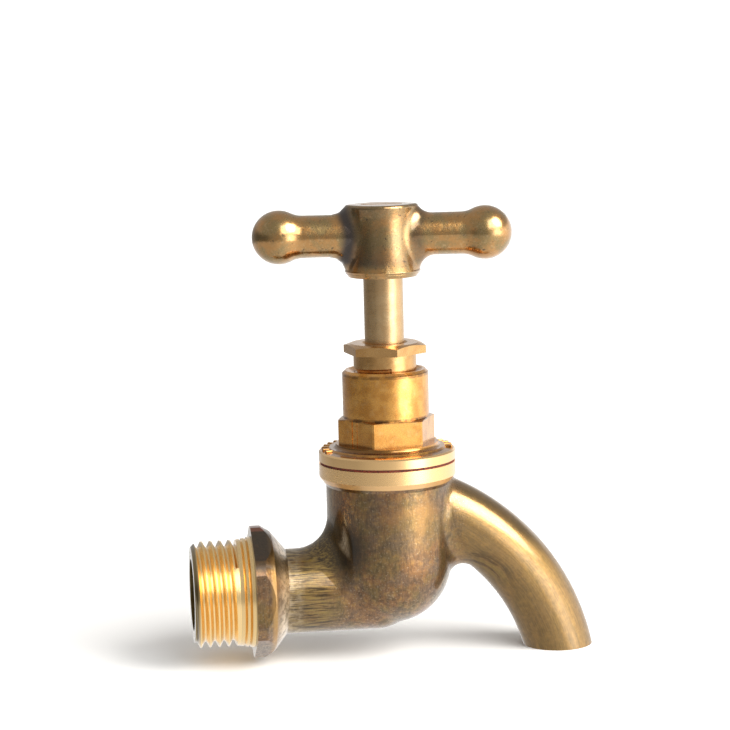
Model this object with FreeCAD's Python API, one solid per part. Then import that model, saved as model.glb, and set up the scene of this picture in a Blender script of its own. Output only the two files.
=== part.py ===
"""Brass bib tap: a screw-down valve with a threaded inlet, a curved spout and a T-handle with ball ends.

Units are millimetres. The origin is the centre of the inlet collar's front face, +X runs along the inlet
towards the spout and +Z up the spindle. The tap is drawn shut, with its rubber washer on the seat.
"""

import FreeCAD, Part
import math
import os

from FreeCAD import Vector

# Inlet: parallel pipe thread G 1/2, collar and barrel
thread_diameter = 20.75
thread_pitch = 25.4 / 14
thread_depth = 1.16
thread_root_flat = 0.3
thread_flank = 27.5
shank_length = 11.7
shank_chamfer = 1.0
runout_length = 2.9
runout_diameter = 21.8
runout_rings = 2
runout_ring_depth = 0.45
thread_lead_in = 1.43
inlet_mouth_diameter = 14.0
inlet_mouth_depth = 13.0
inlet_bore_diameter = 12.0
inlet_bore_taper = 1.6
collar_flats = 23.8
collar_corner_diameter = 25.9
collar_turn = 27.0
collar_thickness = 2.0
collar_shoulder_length = 1.9
collar_shoulder_drop = 1.2
collar_back_angle = 38.7
shank_root_depth = 0.65
barrel_diameter = 16.7
barrel_drop = 0.3
barrel_fillet = 6.3

# Valve chamber and body flange
stem_x = 27.5
chamber_diameter = 24.3
bowl_height = 4.75
barrel_end_setback = 2.8
flange_diameter = 26.85
flange_top = 24.87
flange_depth = 2.6
flange_taper_depth = 1.8
chamber_bore_diameter = 18.4
web_top = 8.8
seat_height = 1.4
seat_diameter = 12.4
seat_land = 0.9
port_diameter = 9.2

# Spout: one circular bend, cut level at its mouth
spout_bend_radius = 42.4
spout_root_offset = 3.47
spout_root_height = 17.16
spout_diameter = 13.4
spout_bore_diameter = 9.8
spout_root_angle = 75.0
spout_mouth_z = -13.9
spout_fillet = 3.0
waterway_top = 17.4

# Threads of the headwork
screw_clearance = 0.12
spindle_screw_clearance = 0.25
body_thread_diameter = 20.0
body_thread_pitch = 1.5
body_thread_depth = 0.7
body_thread_root_flat = 0.45
body_thread_bottom = 17.6
gland_thread_diameter = 12.3
gland_thread_pitch = 1.25
gland_thread_depth = 0.55
gland_thread_root_flat = 0.35
gland_thread_lead = 0.5
vee_flank = 30.0
thread_relief = 0.15

# Body washer and bonnet
body_washer_thickness = 0.5
body_washer_setback = 0.25
body_washer_clearance = 0.25
bonnet_rim_thickness = 1.67
bonnet_rim_edge = 0.3
bonnet_land_slope = 0.15
bonnet_step_diameter = 23.4
bonnet_step_height = 0.4
bonnet_foot_rise = 1.6
bonnet_foot_diameter = 20.0
bonnet_foot_radius = 0.7
bonnet_skirt_relief_length = 1.3
bonnet_hex_flats = 17.0
bonnet_hex_corner_diameter = 19.4
bonnet_hex_turn = 36.3
bonnet_hex_height = 5.2
bonnet_hex_chamfer = 0.35
bonnet_mould_groove = 0.5
bonnet_mould_rib = 0.9
bonnet_tower_diameter = 16.9
bonnet_top = 43.08
bonnet_top_chamfer = 0.6
bonnet_countersink_diameter = 14.6
bonnet_countersink_depth = 1.0
bonnet_bottom = 18.6
bonnet_recess_diameter = 15.2
bonnet_recess_depth = 2.1
neck_bottom = 32.0
neck_thickness = 2.0
screw_relief_diameter = 10.6
screw_relief_length = 1.2
packing_box_diameter = 10.7

# Packing and gland
packing_base_thickness = 0.6
packing_count = 3
packing_height = 1.1
follower_height = 1.1
gland_nut_flats = 14.3
gland_nut_corner_diameter = 16.5
gland_nut_turn = 8.85
gland_nut_bottom = 46.29
gland_nut_height = 2.03
gland_nut_chamfer = 0.6
gland_nut_crown_diameter = 13.2
gland_mouth_chamfer = 0.5
gland_runout = 0.4
gland_thread_length = 4.7

# Spindle, its screw and the handle square
stem_diameter = 7.7
stem_fit = 0.04
gland_bore_clearance = 0.15
packing_fit = 0.02
screw_diameter = 10.0
screw_pitch = 2.0
screw_depth = 1.0
screw_flank = 15.0
screw_land = 0.62
screw_bottom = 17.0
screw_top = 26.7
foot_diameter = 7.8
square_flats = 5.4
square_bottom = 62.0
square_top = 71.2
square_corner_cut = 0.1
edge_break = 0.3

# Jumper and its washer
jumper_rim = 0.2
jumper_plate_thickness = 1.8
jumper_stem_diameter = 5.2
jumper_stem_fit = 0.05
jumper_stem_length = 8.6
jumper_running_gap = 0.05
jumper_socket_room = 0.5
seat_gap = 0.03
seat_washer_thickness = 3.2
seat_washer_diameter = 13.6
washer_plate_diameter = 6.8
washer_plate_thickness = 0.6
washer_nut_flats = 5.0
washer_nut_height = 2.0
peg_diameter = 2.8
peg_fit = 0.05
snap_ring_wire = 0.8
snap_ring_inset = 1.9
snap_ring_fit = 0.02
snap_ring_room = 0.25
peg_end = 0.8

# Handle
handle_turn = -6.24
hub_bottom = 61.3
hub_top = 75.3
hub_waist_diameter = 12.3
hub_waist_height = 70.6
hub_waist_radius = 37.5
hub_foot_diameter = 13.4
hub_lip_diameter = 14.8
hub_lip_height = 1.3
hub_edge_radius = 0.6
hub_lip_edge = 0.2
arm_height = 69.3
arm_diameter = 8.2
arm_neck_diameter = 8.3
ball_diameter = 10.5
ball_offset = 20.0
ball_blend_radius = 5.0
arm_fillet = 3.1
square_fit = 0.05
square_end_room = 0.3
handle_screw_diameter = 4.0
handle_screw_head_diameter = 8.0
handle_screw_length = 9.0
handle_screw_fit = 0.1
screw_slot_width = 0.9
screw_slot_depth = 1.0
screw_hole_room = 1.0

# How far a cutting shape runs past the face that it cuts, and how close to count as touching
beyond = 1.0
touching = 0.01

up = Vector(0, 0, 1)
stem_axis = Vector(stem_x, 0, 0)
body_washer_top = flange_top + body_washer_thickness
jumper_diameter = seat_washer_diameter + 2 * jumper_rim
seat_top = web_top + seat_height
washer_bottom = seat_top + seat_gap
jumper_plate_bottom = washer_bottom + seat_washer_thickness
jumper_plate_top = jumper_plate_bottom + jumper_plate_thickness
neck_top = neck_bottom + neck_thickness
gland_nut_top = gland_nut_bottom + gland_nut_height
gland_neck_bottom = neck_top + packing_base_thickness + packing_count * packing_height + follower_height
spindle_bottom = jumper_plate_top + jumper_running_gap
jumper_top = spindle_bottom + jumper_stem_length
snap_ring_bottom = jumper_top - snap_ring_inset
spout_turn = math.radians(spout_root_angle)
spout_centre = Vector(
    stem_x + spout_root_offset - spout_bend_radius * math.cos(spout_turn), 0,
    spout_root_height - spout_bend_radius * math.sin(spout_turn),
)


def outline(start, *steps):
    """Closed wire in the XZ plane from a start point; a step is a point, or (middle, end) of an arc."""
    here = Vector(start[0], 0, start[1])
    first = here
    edges = []
    for step in steps:
        if isinstance(step[0], tuple):
            middle, end = [Vector(x, 0, z) for x, z in step]
            edges.append(Part.Arc(here, middle, end).toShape())
        else:
            end = Vector(step[0], 0, step[1])
            edges.append(Part.makeLine(here, end))
        here = end
    if (here - first).Length > 1e-6:
        edges.append(Part.makeLine(here, first))
    return Part.Wire(edges)


def turned(start, *steps):
    """Solid turned about the spindle's axis from (radius, height) points; its seam faces +Y."""
    solid = Part.Face(outline(start, *steps)).revolve(Vector(), up, 360)
    solid.rotate(Vector(), up, 90)
    solid.translate(stem_axis)
    return solid


def turned_on_inlet(start, *steps):
    """Solid turned about the inlet's axis from (x, radius) points; its seam faces +Y."""
    solid = Part.Face(outline(start, *steps)).revolve(Vector(), Vector(1, 0, 0), 360)
    solid.rotate(Vector(), Vector(1, 0, 0), -90)
    return solid


def rod(diameter, bottom, top):
    """Upright cylinder on the spindle's axis."""
    return Part.makeCylinder(diameter / 2, top - bottom, Vector(stem_x, 0, bottom))


def tube(outside, inside, bottom, top):
    """Upright ring on the spindle's axis."""
    return rod(outside, bottom, top).cut(rod(inside, bottom - beyond, top + beyond))


def arc_middle(centre, radius, angle):
    """Point at an angle in degrees on a circle in an outline's plane."""
    turn = math.radians(angle)
    return centre[0] + radius * math.cos(turn), centre[1] + radius * math.sin(turn)


def corner_radius(sides, flats):
    """Distance from the axis of a regular prism to its corners, from its width across flats."""
    return flats / 2 / math.cos(math.pi / sides)


def prism(sides, flats, bottom, top, turn=0.0):
    """Upright regular prism on the spindle's axis, with the middle of a flat at the angle turn from +X."""
    radius = corner_radius(sides, flats)
    corners = []
    for index in range(sides + 1):
        angle = math.radians(turn + 360 / sides * (index + 0.5))
        corners.append(Vector(stem_x + radius * math.cos(angle), radius * math.sin(angle), bottom))
    return Part.Face(Part.makePolygon(corners)).extrude(Vector(0, 0, top - bottom))


def hexagon(flats, bottom, top, turn=0.0):
    """Upright hexagon on the spindle's axis, with the middle of a flat at the angle turn from +X."""
    return prism(6, flats, bottom, top, turn)


def helical_ridge(inner, outer, inner_width, outer_width, pitch, bottom, height):
    """Trapezoidal ridge wound right-handed about the Z axis, its mid-line at angle 0 at the height bottom."""
    path = Part.makeLongHelix(pitch, height, inner, 0)
    corners = [
        Vector(inner, 0, -inner_width / 2),
        Vector(outer, 0, -outer_width / 2),
        Vector(outer, 0, outer_width / 2),
        Vector(inner, 0, inner_width / 2),
    ]
    section = Part.makePolygon(corners + corners[:1])
    ridge = Part.Wire(path.Edges).makePipeShell([section], True, True)
    ridge.translate(Vector(0, 0, bottom))
    return ridge


def male_groove(diameter, depth, root_flat, flank, pitch, bottom, height, over=0.1):
    """Cutter that leaves a thread of the given outside diameter on a rod about the Z axis."""
    root = diameter / 2 - depth
    slope = 2 * math.tan(math.radians(flank))
    mouth = root_flat + (depth + over) * slope
    return helical_ridge(root, diameter / 2 + over, root_flat, mouth, pitch, bottom, height)


def female_groove(diameter, depth, land, flank, pitch, bottom, height, gap, over=0.05):
    """Cutter for the nut of a male thread: its crest's land with a gap all round, reaching into the bore."""
    outer = diameter / 2 + gap
    inner = diameter / 2 - depth + gap - over
    slope = 2 * math.tan(math.radians(flank))
    outer_width = land + 2 * gap
    inner_width = outer_width + (outer - inner) * slope
    return helical_ridge(inner, outer, inner_width, outer_width, pitch, bottom, height)


def crest_land(root_flat, depth, flank, pitch):
    """Width of a thread's crest when its groove has this root flat and depth."""
    return pitch - root_flat - 2 * depth * math.tan(math.radians(flank))


def meeting_edges(joined, first, second):
    """Edges of a fused solid along which the surfaces of its two parts cross."""
    found = []
    for edge in joined.Edges:
        if edge.Degenerated or edge.Length < touching:
            continue
        low, high = edge.ParameterRange
        spots = [Part.Vertex(edge.valueAt(low + (high - low) * share)) for share in (0.2, 0.5, 0.8)]
        skins = (first.Shells[0], second.Shells[0])
        if all(spot.distToShape(skin)[0] < touching for spot in spots for skin in skins):
            found.append(edge)
    return found


def fused_with_fillet(first, second, radius):
    """Two solids joined, with a fillet of the given radius where their surfaces meet."""
    joined = first.fuse(second).removeSplitter()
    return joined.makeFillet(radius, meeting_edges(joined, first, second))


def bend(diameter, low_angle, high_angle):
    """Round bar along the spout's circular centre line, between two angles above the circle's centre."""
    start = spout_centre + Vector(spout_bend_radius, 0, 0)
    towards_root = Vector(0, -1, 0)
    face = Part.Face(Part.Wire(Part.makeCircle(diameter / 2, start, up)))
    face.rotate(spout_centre, towards_root, low_angle)
    return face.revolve(spout_centre, towards_root, high_angle - low_angle)


def valve_chamber():
    """Upright round chamber with a ball-shaped bottom, running up past the flange."""
    radius = chamber_diameter / 2
    top = flange_top + spout_fillet + beyond
    corner = arc_middle((0, bowl_height), radius, -45)
    return turned((0, bowl_height - radius), (corner, (radius, bowl_height)), (radius, top), (0, top))


def barrel():
    """Horizontal barrel from the collar, closed by a ball end inside the chamber."""
    end = stem_x - barrel_end_setback
    radius = barrel_diameter / 2
    corner = arc_middle((end, 0), radius, 45)
    solid = turned_on_inlet((0, 0), (0, radius), (end, radius), (corner, (end + radius, 0)))
    solid.translate(Vector(0, 0, -barrel_drop))
    return solid


def collar():
    """Hexagonal collar: corners turned to a shoulder at its back, then a steeper cone down to the barrel."""
    corner = collar_corner_diameter / 2
    shoulder = corner - collar_shoulder_drop
    shoulder_end = collar_thickness + collar_shoulder_length
    inner = barrel_diameter / 2 - barrel_drop
    back = shoulder_end + (shoulder - inner) * math.tan(math.radians(collar_back_angle))
    blank = turned_on_inlet(
        (0, 0), (0, corner), (collar_thickness, corner), (shoulder_end, shoulder), (back, inner), (back, 0)
    )
    flats = hexagon(collar_flats, 0, back, collar_turn)
    flats.translate(-stem_axis)
    flats.rotate(Vector(), Vector(0, 1, 0), 90)
    return blank.common(flats)


def body_flange():
    """Machined round flange on top of the chamber, tapered below."""
    rim = flange_diameter / 2
    taper_top = flange_top - flange_depth
    # the taper runs on inside the chamber, so that the two overlap
    slope = flange_taper_depth / (rim - chamber_diameter / 2)
    inner = chamber_diameter / 2 - beyond
    foot = taper_top - (rim - inner) * slope
    return turned((0, foot), (inner, foot), (rim, taper_top), (rim, flange_top), (0, flange_top))


def inlet_shank():
    """Threaded inlet pipe end, chamfered at its mouth, with a flared run-out marked in rings by the die."""
    crest = thread_diameter / 2
    end = -shank_length
    blank = turned_on_inlet((end, 0), (end, crest), (-runout_length, crest), (-runout_length, 0))
    wound = shank_length - runout_length + thread_lead_in
    groove = male_groove(thread_diameter, thread_depth, thread_root_flat, thread_flank, thread_pitch, 0, wound)
    groove.rotate(Vector(), Vector(0, 1, 0), 90)
    groove.translate(Vector(end - thread_lead_in, 0, 0))
    mouth_ring = turned_on_inlet(
        (end - beyond, crest - shank_chamfer - beyond), (end - beyond, crest + beyond),
        (end + shank_chamfer + beyond, crest + beyond),
    )
    threaded = blank.cut(groove).cut(mouth_ring)
    rise = (runout_diameter - thread_diameter) / 2 / runout_length
    side = runout_ring_depth * math.tan(math.radians(thread_flank))
    profile = []
    for index in range(runout_rings):
        x = -runout_length + runout_length / (runout_rings + 1) * (index + 1)
        radius = crest + rise * (x + runout_length)
        profile.append((x - side, radius - rise * side))
        profile.append((x, radius - runout_ring_depth))
        profile.append((x + side, radius + rise * side))
    profile += [(0, runout_diameter / 2), (shank_root_depth, runout_diameter / 2), (shank_root_depth, 0)]
    flare = turned_on_inlet((-runout_length, 0), (-runout_length, crest), *profile)
    return threaded.fuse(flare)


def waterways():
    """Inlet mouth and bore, port under the seat, upper chamber and the spout's curved passage."""
    end = stem_x - barrel_end_setback
    radius = inlet_bore_diameter / 2
    mouth = inlet_mouth_diameter / 2
    mouth_end = inlet_mouth_depth - shank_length
    corner = arc_middle((end, 0), radius, 45)
    bore = turned_on_inlet(
        (-shank_length - beyond, 0), (-shank_length - beyond, mouth), (mouth_end, mouth),
        (mouth_end + inlet_bore_taper, radius), (end, radius), (corner, (end + radius, 0)),
    )
    port_radius = port_diameter / 2
    port_corner = arc_middle((0, 0), port_radius, -45)
    port_top = seat_top + beyond
    port = turned((0, -port_radius), (port_corner, (port_radius, 0)), (port_radius, port_top), (0, port_top))
    seat = seat_diameter / 2
    land = port_radius + seat_land
    chamber = chamber_bore_diameter / 2
    upper_top = body_thread_bottom + beyond
    upper = turned(
        (0, seat_top), (land, seat_top), (seat, seat_top - (seat - land)), (seat, web_top), (chamber, web_top),
        (chamber, upper_top), (0, upper_top),
    )
    passage = bend(spout_bore_diameter, 0, spout_root_angle)
    width = chamber_diameter
    roof = Part.makeBox(width, width, width, Vector(stem_x, -width / 2, waterway_top))
    floor = Part.makeBox(width / 2, width, width, Vector(stem_x, -width / 2, web_top - width))
    passage = passage.cut(roof).cut(floor)
    return bore.fuse(port).fuse([upper, passage])


def bonnet_socket():
    """Threaded hole in the top of the body that takes the bonnet."""
    radius = body_thread_diameter / 2
    minor = radius - body_thread_depth + screw_clearance
    entry = radius + screw_clearance
    hole = turned(
        (0, body_thread_bottom), (minor, body_thread_bottom), (minor, flange_top - (entry - minor)),
        (entry, flange_top), (entry, flange_top + beyond), (0, flange_top + beyond),
    )
    height = flange_top - body_thread_bottom
    return hole, height


def thread_in_place(cutter, turn=0.0):
    """Cutter made about the Z axis, turned and moved on to the spindle's axis."""
    cutter.rotate(Vector(), up, turn)
    cutter.translate(stem_axis)
    return cutter


def make_body():
    """Body casting: shank, collar, barrel, chamber, flange and spout, hollowed by the waterways."""
    pipe = barrel()
    chamber = valve_chamber()
    shell = fused_with_fillet(chamber, pipe, barrel_fillet)
    spout = bend(spout_diameter, 0, spout_root_angle)
    below = Part.makeBox(
        2 * spout_bend_radius, 2 * spout_diameter, spout_bend_radius,
        Vector(stem_x, -spout_diameter, spout_mouth_z - spout_bend_radius),
    )
    shell = fused_with_fillet(shell, spout.cut(below), spout_fillet)
    shell = shell.cut(rod(2 * flange_diameter, flange_top, flange_top + flange_diameter))
    shell = shell.fuse([body_flange(), collar()])
    shell = shell.fuse(inlet_shank())
    hole, height = bonnet_socket()
    land = crest_land(body_thread_root_flat, body_thread_depth, vee_flank, body_thread_pitch)
    groove = female_groove(
        body_thread_diameter, body_thread_depth, land, vee_flank, body_thread_pitch,
        body_thread_bottom, height + body_thread_pitch, screw_clearance,
    )
    shell = shell.cut(waterways()).cut(hole)
    return shell.cut(thread_in_place(groove)).removeSplitter()


def make_body_washer():
    """Flat fibre ring squeezed between the two flanges."""
    outside = flange_diameter - 2 * body_washer_setback
    inside = body_thread_diameter + 2 * body_washer_clearance
    return tube(outside, inside, flange_top, body_washer_top)


def bonnet_flange():
    """Round flange with a machined rim, a sloping land, a step and a small fillet up to the hexagon."""
    rim = flange_diameter / 2
    rim_top = body_washer_top + bonnet_rim_thickness
    edge = bonnet_rim_edge
    step = bonnet_step_diameter / 2
    land_top = rim_top + edge + bonnet_land_slope
    step_top = land_top + bonnet_step_height
    foot = bonnet_foot_diameter / 2
    foot_top = rim_top + bonnet_foot_rise
    fillet = bonnet_foot_radius
    hollow = arc_middle((foot + fillet, step_top + fillet), fillet, 225)
    return turned(
        (0, body_washer_top), (rim, body_washer_top), (rim, rim_top), (rim - edge, rim_top + edge),
        (step, land_top), (step - bonnet_step_height, step_top), (foot + fillet, step_top),
        (hollow, (foot, step_top + fillet)), (foot, foot_top), (0, foot_top),
    )


def bonnet_hexagon(bottom):
    """Spanner hexagon with turned corners; two opposite flats show the mould's joint, a rib between grooves."""
    top = bottom + bonnet_hex_height
    corner = bonnet_hex_corner_diameter / 2
    tower = bonnet_tower_diameter / 2
    envelope = turned((0, bottom), (corner, bottom), (corner, top - bonnet_hex_chamfer), (tower, top), (0, top))
    solid = hexagon(bonnet_hex_flats, bottom, top, bonnet_hex_turn).common(envelope)
    groove = bonnet_mould_groove / 2
    offset = bonnet_mould_rib / 2 + groove
    for flat in (bonnet_hex_turn, bonnet_hex_turn + 180):
        for side in (1, -1):
            cutter = Part.makeCylinder(groove, bonnet_hex_height + beyond, Vector(tower, side * offset, bottom))
            cutter.rotate(Vector(), up, flat)
            cutter.translate(stem_axis)
            solid = solid.cut(cutter)
    return solid


def bonnet_skirt(bottom, top):
    """Threaded skirt that screws into the body, relieved under the flange."""
    radius = body_thread_diameter / 2
    relief = radius - body_thread_depth - thread_relief
    relief_bottom = body_washer_top - bonnet_skirt_relief_length
    lead = radius - relief
    blank = turned(
        (0, bottom), (relief, bottom), (radius, bottom + lead), (radius, relief_bottom - lead),
        (relief, relief_bottom), (relief, top), (0, top),
    )
    groove_bottom = body_thread_bottom + body_thread_pitch / 2
    groove = male_groove(
        body_thread_diameter, body_thread_depth, body_thread_root_flat, vee_flank, body_thread_pitch,
        groove_bottom, relief_bottom - groove_bottom,
    )
    return blank.cut(thread_in_place(groove))


def bonnet_bore(recess_top, relief_bottom, gland_bottom):
    """Inside of the bonnet: recess, screw bore with its relief, stem guide, packing box and gland hole."""
    recess = bonnet_recess_diameter / 2
    minor = screw_diameter / 2 - screw_depth + spindle_screw_clearance
    relief = screw_relief_diameter / 2
    guide = stem_diameter / 2 + stem_fit
    box = packing_box_diameter / 2
    gland = gland_thread_diameter / 2 - gland_thread_depth + screw_clearance
    mouth = bonnet_countersink_diameter / 2
    bottom = bonnet_bottom - beyond
    lead = relief - minor
    return turned(
        (0, bottom), (recess, bottom), (recess, recess_top), (relief, recess_top), (minor, recess_top + lead),
        (minor, relief_bottom - lead), (relief, relief_bottom), (relief, neck_bottom),
        (guide, neck_bottom), (guide, neck_top), (box, neck_top), (box, gland_bottom),
        (gland, gland_bottom), (gland, bonnet_top - bonnet_countersink_depth), (mouth, bonnet_top),
        (mouth, bonnet_top + beyond), (0, bonnet_top + beyond),
    )


def make_bonnet():
    """Headwork: threaded skirt, stepped flange, spanner hexagon, round tower, screw nut and packing box."""
    foot_top = body_washer_top + bonnet_rim_thickness + bonnet_foot_rise
    tower = bonnet_tower_diameter / 2
    edge = bonnet_top_chamfer
    round_tower = turned(
        (0, body_washer_top), (tower, body_washer_top), (tower, bonnet_top - edge), (tower - edge, bonnet_top),
        (0, bonnet_top),
    )
    skirt = bonnet_skirt(bonnet_bottom, body_washer_top + bonnet_rim_thickness / 2)
    solid = skirt.fuse([bonnet_flange(), bonnet_hexagon(foot_top), round_tower]).removeSplitter()
    recess_top = bonnet_bottom + bonnet_recess_depth
    relief_bottom = neck_bottom - screw_relief_length
    gland_bottom = gland_neck_bottom - gland_runout
    solid = solid.cut(bonnet_bore(recess_top, relief_bottom, gland_bottom))
    nut_groove = female_groove(
        screw_diameter, screw_depth, screw_land, screw_flank, screw_pitch, recess_top - screw_pitch,
        relief_bottom - recess_top + screw_pitch, spindle_screw_clearance,
    )
    solid = solid.cut(thread_in_place(nut_groove))
    gland_land = crest_land(gland_thread_root_flat, gland_thread_depth, vee_flank, gland_thread_pitch)
    gland_groove = female_groove(
        gland_thread_diameter, gland_thread_depth, gland_land, vee_flank, gland_thread_pitch,
        gland_bottom - gland_thread_pitch / 2, bonnet_top - gland_bottom + gland_thread_pitch, screw_clearance,
    )
    return solid.cut(thread_in_place(gland_groove)).removeSplitter()


def make_gland_nut():
    """Hexagon nut with a threaded neck that presses the packing down."""
    top = gland_nut_top
    corner = gland_nut_corner_diameter / 2
    crown = gland_nut_crown_diameter / 2
    envelope = turned(
        (0, gland_nut_bottom), (corner, gland_nut_bottom), (corner, top - gland_nut_chamfer), (crown, top),
        (0, top),
    )
    head = hexagon(gland_nut_flats, gland_nut_bottom, top, gland_nut_turn).common(envelope)
    major = gland_thread_diameter / 2
    lead = gland_thread_lead
    neck = turned(
        (0, gland_neck_bottom), (major - lead, gland_neck_bottom), (major, gland_neck_bottom + lead),
        (major, gland_nut_bottom), (0, gland_nut_bottom),
    )
    groove = male_groove(
        gland_thread_diameter, gland_thread_depth, gland_thread_root_flat, vee_flank, gland_thread_pitch,
        gland_neck_bottom - gland_runout, gland_thread_length,
    )
    neck = neck.cut(thread_in_place(groove))
    hole = stem_diameter / 2 + gland_bore_clearance
    mouth = hole + gland_mouth_chamfer
    bottom = gland_neck_bottom - beyond
    bore = turned(
        (0, bottom), (hole, bottom), (hole, top - gland_mouth_chamfer), (mouth, top), (mouth, top + beyond),
        (0, top + beyond),
    )
    return head.fuse(neck).removeSplitter().cut(bore)


def make_packing():
    """Nodes of the packing box: base ring, packing rings and the follower that the gland nut presses on."""
    nodes = {}
    outside = packing_box_diameter - 2 * packing_fit
    hole = stem_diameter + 2 * packing_fit
    loose_hole = stem_diameter + 2 * gland_bore_clearance
    bottom = neck_top
    nodes["packing_base_ring"] = tube(outside, loose_hole, bottom, bottom + packing_base_thickness)
    bottom += packing_base_thickness
    for index in range(packing_count):
        nodes["packing_ring_%d" % (index + 1)] = tube(outside, hole, bottom, bottom + packing_height)
        bottom += packing_height
    nodes["gland_follower"] = tube(outside, loose_hole, bottom, gland_neck_bottom)
    return nodes


def spindle_screw():
    """Threaded length of the spindle, chamfered at both ends."""
    screw = screw_diameter / 2
    root_flat = crest_land(screw_land, screw_depth, screw_flank, screw_pitch)
    groove_bottom = bonnet_bottom + bonnet_recess_depth - 2.5 * screw_pitch
    groove = male_groove(
        screw_diameter, screw_depth, root_flat, screw_flank, screw_pitch, groove_bottom,
        screw_top - groove_bottom + beyond,
    )
    blank = turned((0, screw_bottom), (screw, screw_bottom), (screw, screw_top), (0, screw_top))
    edge = screw_depth / 2
    narrow = screw - edge
    envelope = turned(
        (0, screw_bottom), (narrow, screw_bottom), (screw, screw_bottom + edge), (screw, screw_top - edge),
        (narrow, screw_top), (0, screw_top),
    )
    return blank.cut(thread_in_place(groove)).common(envelope)


def make_spindle():
    """Spindle: foot with the jumper's socket, screw, smooth stem and the square with its tapped hole."""
    stem = stem_diameter / 2
    foot = foot_diameter / 2
    corner = stem - square_corner_cut
    edge = edge_break
    foot_top = screw_bottom + edge
    core = turned(
        (0, spindle_bottom), (foot - edge, spindle_bottom), (foot, spindle_bottom + edge), (foot, foot_top),
        (stem, foot_top), (stem, square_bottom), (corner, square_bottom), (corner, square_top - edge),
        (corner - edge, square_top), (0, square_top),
    )
    solid = core.fuse(spindle_screw())
    square = prism(4, square_flats, square_bottom, square_top + beyond, handle_turn)
    solid = solid.cut(rod(2 * stem_diameter, square_bottom, square_top + beyond).cut(square))
    socket = jumper_stem_diameter / 2 + jumper_stem_fit
    socket_top = jumper_top + jumper_socket_room
    room = jumper_stem_diameter / 2 + snap_ring_wire / 2 + snap_ring_room
    room_bottom = snap_ring_bottom - snap_ring_room
    room_top = snap_ring_bottom + snap_ring_wire + snap_ring_room
    bottom = spindle_bottom - beyond
    inside = turned(
        (0, bottom), (socket, bottom), (socket, room_bottom), (room, room_bottom), (room, room_top),
        (socket, room_top), (socket, socket_top), (0, socket_top + socket / 2),
    )
    hole_bottom = hub_top - handle_screw_length - screw_hole_room
    tapped = rod(handle_screw_diameter + 2 * screw_clearance, hole_bottom, square_top + beyond)
    return solid.cut(inside).cut(tapped)


def make_jumper():
    """Valve disc with its guide stem above and its peg for the washer below."""
    plate = jumper_diameter / 2
    stem = jumper_stem_diameter / 2
    peg = peg_diameter / 2
    peg_bottom = washer_bottom - washer_plate_thickness - washer_nut_height - peg_end
    groove = stem - snap_ring_wire / 2
    groove_top = snap_ring_bottom + snap_ring_wire
    edge = edge_break
    return turned(
        (0, peg_bottom), (peg - edge, peg_bottom), (peg, peg_bottom + edge), (peg, jumper_plate_bottom),
        (plate, jumper_plate_bottom), (plate, jumper_plate_top - edge), (plate - edge, jumper_plate_top),
        (stem, jumper_plate_top), (stem, snap_ring_bottom), (groove, snap_ring_bottom), (groove, groove_top),
        (stem, groove_top), (stem, jumper_top - edge), (stem - edge, jumper_top), (0, jumper_top),
    )


def make_snap_ring():
    """Split wire ring in the groove of the jumper's stem."""
    inside = jumper_stem_diameter - snap_ring_wire + 2 * snap_ring_fit
    outside = jumper_stem_diameter + snap_ring_wire
    bottom = snap_ring_bottom + snap_ring_fit
    top = snap_ring_bottom + snap_ring_wire - snap_ring_fit
    slit = Part.makeBox(outside, snap_ring_wire, top - bottom, Vector(stem_x, -snap_ring_wire / 2, bottom))
    return tube(outside, inside, bottom, top).cut(slit)


def make_seat_washer():
    """Rubber washer that closes on the seat."""
    radius = seat_washer_diameter / 2
    hole = peg_diameter / 2 + peg_fit
    return turned(
        (hole, washer_bottom), (radius - edge_break, washer_bottom), (radius, washer_bottom + edge_break),
        (radius, jumper_plate_bottom), (hole, jumper_plate_bottom),
    )


def make_washer_plate():
    """Small flat washer under the nut."""
    bottom = washer_bottom - washer_plate_thickness
    return tube(washer_plate_diameter, peg_diameter + 2 * peg_fit, bottom, washer_bottom)


def make_washer_nut():
    """Small hexagon nut on the jumper's peg."""
    top = washer_bottom - washer_plate_thickness
    bottom = top - washer_nut_height
    corner = corner_radius(6, washer_nut_flats)
    envelope = turned(
        (0, bottom), (corner - edge_break, bottom), (corner, bottom + edge_break), (corner, top), (0, top)
    )
    nut = hexagon(washer_nut_flats, bottom, top).common(envelope)
    return nut.cut(rod(peg_diameter + 2 * peg_fit, bottom - beyond, top + beyond))


def handle_arm(side):
    """One round arm with its ball end, turned about a horizontal axis, on the side +1 or -1."""
    arm = arm_diameter / 2
    neck = arm_neck_diameter / 2
    ball = ball_diameter / 2
    blend = ball_blend_radius
    # the hollow from the neck to the ball is an arc that touches both
    reach = math.sqrt((ball + blend) ** 2 - (neck + blend) ** 2)
    blend_x = ball_offset - reach
    touch = ball / (ball + blend)
    ball_touch = (ball_offset - reach * touch, (neck + blend) * touch)
    half_turn = math.degrees(math.atan2(neck + blend, reach)) / 2 + 45
    blend_middle = arc_middle((blend_x, neck + blend), blend, -half_turn)
    start = math.degrees(math.atan2(ball_touch[1], ball_touch[0] - ball_offset))
    ball_middle = arc_middle((ball_offset, 0), ball, start / 2)
    tip = (ball_offset + ball, 0)
    section = outline((0, 0), (0, arm), (blend_x, neck), (blend_middle, ball_touch), (ball_middle, tip))
    solid = Part.Face(section).revolve(Vector(), Vector(1, 0, 0), 360)
    solid.rotate(Vector(), Vector(1, 0, 0), 90)
    solid.rotate(Vector(), up, handle_turn + (0 if side > 0 else 180))
    solid.translate(Vector(stem_x, 0, arm_height))
    return solid


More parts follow.
